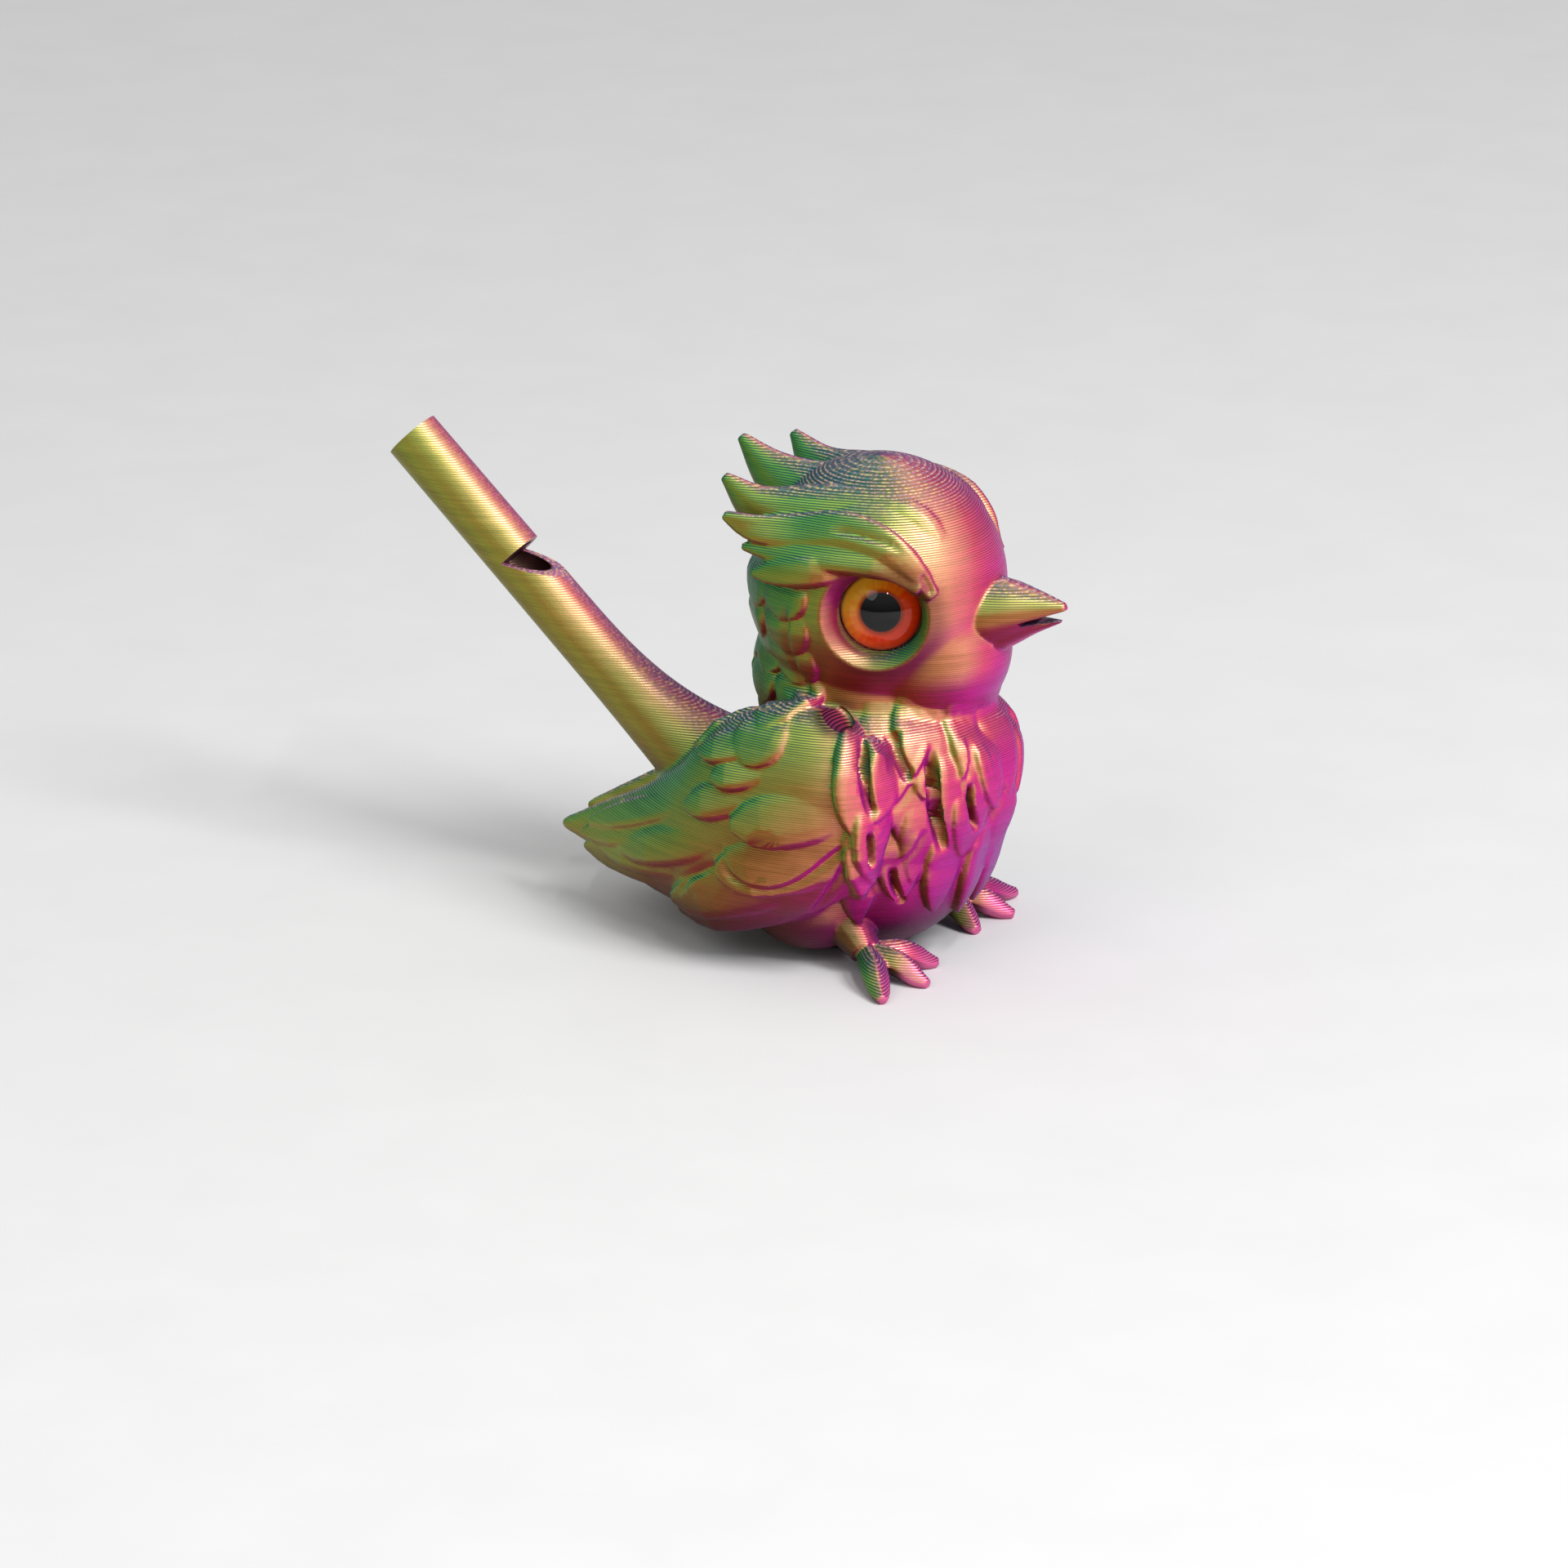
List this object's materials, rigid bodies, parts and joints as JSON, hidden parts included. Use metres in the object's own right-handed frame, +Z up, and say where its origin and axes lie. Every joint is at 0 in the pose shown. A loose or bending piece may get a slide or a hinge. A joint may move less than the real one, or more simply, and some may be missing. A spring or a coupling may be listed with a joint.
{
  "type": "bird whistle",
  "caption": "Small bird-shaped whistle: a crested perching bird whose raised tail is the blowing tube, with a sounding window, a hollow breast and round glass eyes.",
  "frame": {"origin": "on the flat under the belly that the bird stands on, in its mirror plane", "axes": "+Z up, the beak points along -Y and the blowing tube rises along +Y, the bird's left side is +X"},
  "size_m": [0.0446, 0.0937, 0.0652],
  "materials": {
    "silk_print": "satin, colour-shifting print in gold, green and magenta with fine level layer lines",
    "clear_glass": "polished clear glass dome",
    "iris_paint": "yellow to red-orange iris with a round black pupil"
  },
  "bodies": {
    "root": {"whistle_body": "silk_print", "right_eye_dome": "clear_glass", "left_eye_dome": "clear_glass", "right_iris_disc": "iris_paint", "left_iris_disc": "iris_paint"}
  },
  "joints": []
}
